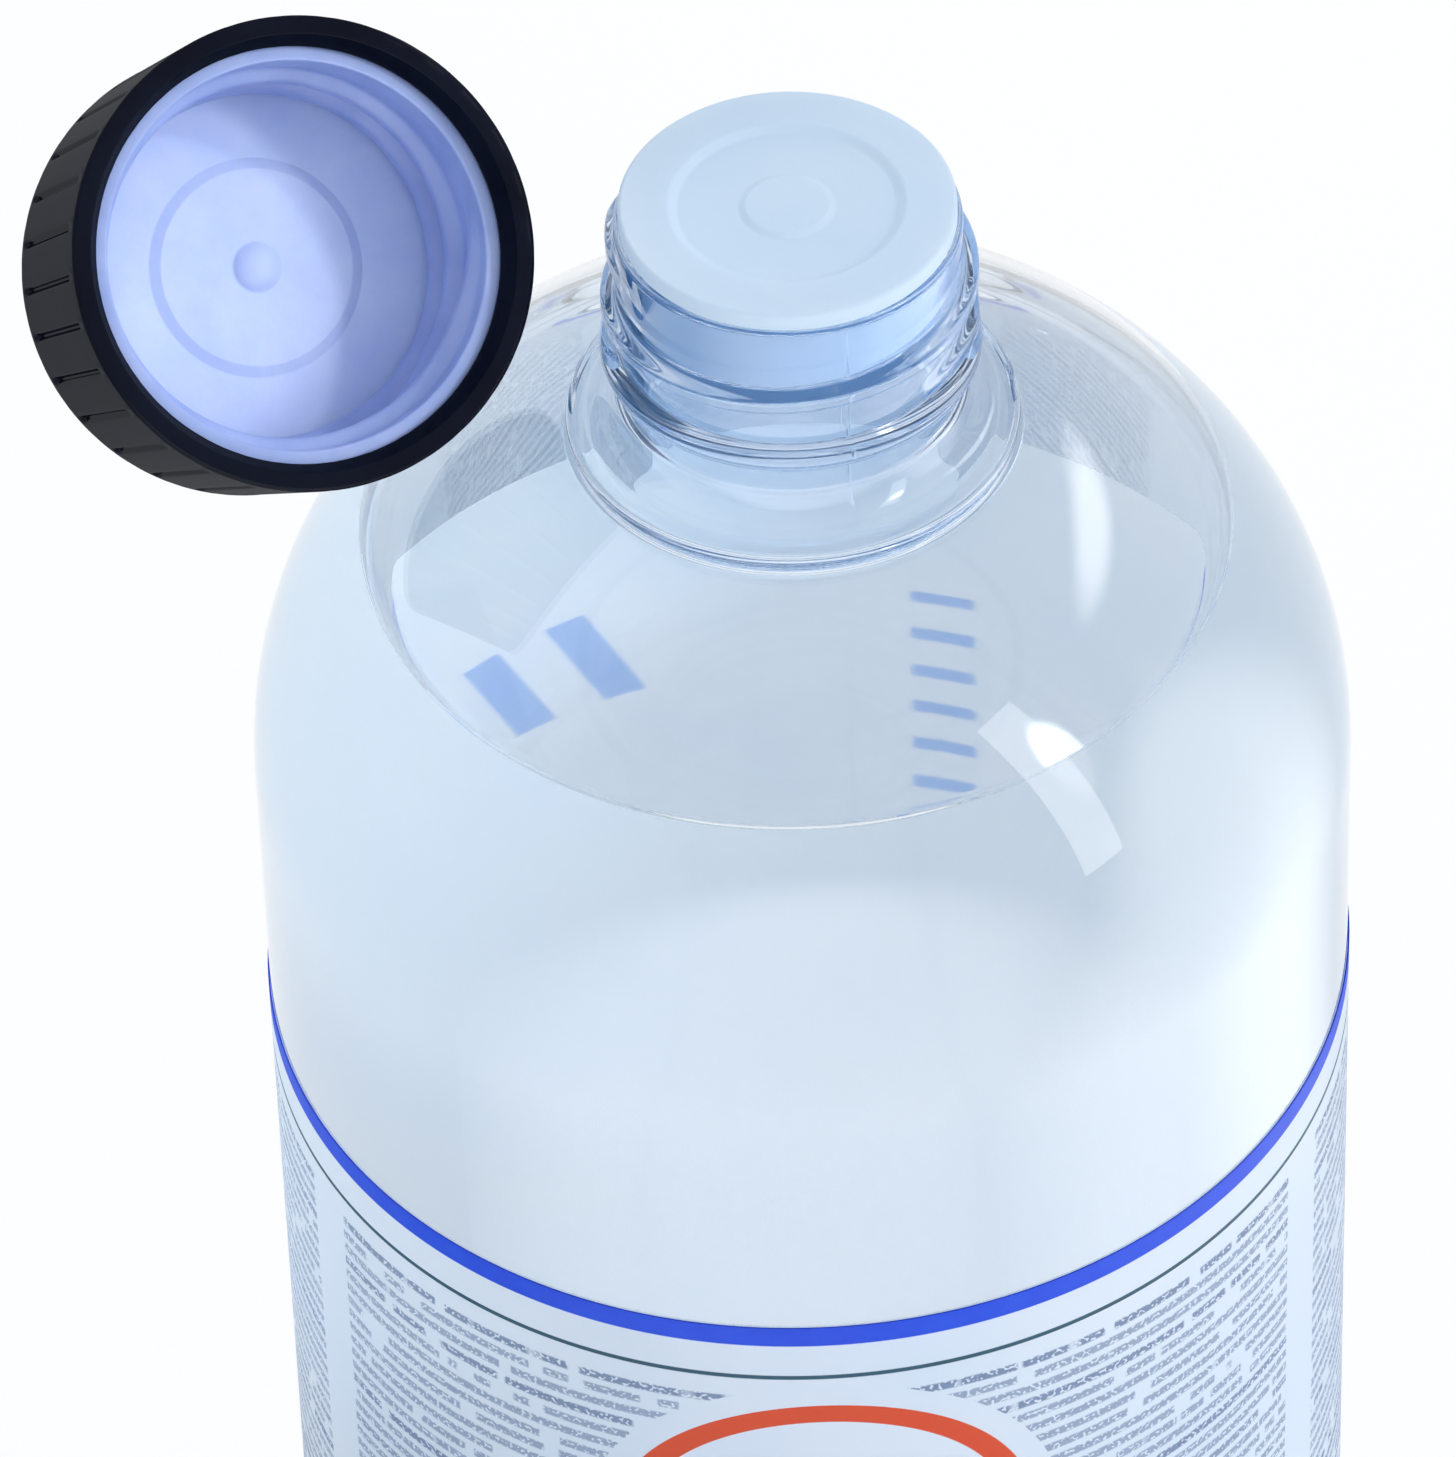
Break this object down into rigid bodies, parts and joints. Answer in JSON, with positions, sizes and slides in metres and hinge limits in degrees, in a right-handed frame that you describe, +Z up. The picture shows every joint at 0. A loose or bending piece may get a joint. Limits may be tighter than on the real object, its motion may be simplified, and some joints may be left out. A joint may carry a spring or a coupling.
{
  "type": "screw cap bottle",
  "caption": "Clear round bottle with a threaded neck, pull-out neck plug, liquid fill and wrap label, and a push-and-turn screw cap held open beside the neck.",
  "frame": {"origin": "middle of the bottle's foot, on the surface it stands on", "axes": "+Z up along the bottle's axis, with the label's front towards -Y"},
  "size_m": [0.0968, 0.0824, 0.2468],
  "materials": {
    "clear_plastic": "clear, polished",
    "clear_liquid": "clear liquid",
    "label_film": "printed film",
    "frosted_plastic": "frosted, translucent",
    "black_plastic": "glossy, moulded",
    "pale_plastic": "satin, moulded",
    "disc_plastic": "satin, moulded"
  },
  "bodies": {
    "bottle": {"bottle_shell": "clear_plastic", "liquid_fill": "clear_liquid", "wrap_label": "label_film"},
    "plug": {"neck_plug": "frosted_plastic"},
    "cap_seal": {"cap_sealing_disc": "disc_plastic"},
    "cap_inner": {"cap_inner_shell": "pale_plastic"},
    "cap_outer": {"cap_outer_shell": "black_plastic"}
  },
  "joints": [
    {"name": "plug_pull", "type": "slide", "parent": "bottle", "child": "plug", "axis": [0, 0, 1], "range_m": [0, 0.012]},
    {"name": "cap_carry", "type": "hinge", "parent": "bottle", "child": "cap_seal", "pos_m": [-0.01722, -0.00097, 0.23364], "axis": [-0.1152, 0.9167, 0.3826], "range_deg": [0, 166.78]},
    {"name": "cap_turn", "type": "hinge", "parent": "cap_seal", "child": "cap_inner", "pos_m": [-0.0345, -0.0035, 0.2345], "axis": [-0.2966, 0.6658, -0.6846], "range_deg": [-450, 0]},
    {"name": "cap_push", "type": "slide", "parent": "cap_inner", "child": "cap_outer", "axis": [0.2966, -0.6658, 0.6846], "range_m": [0, 0.0015], "stiffness_N_per_m": 2000}
  ]
}
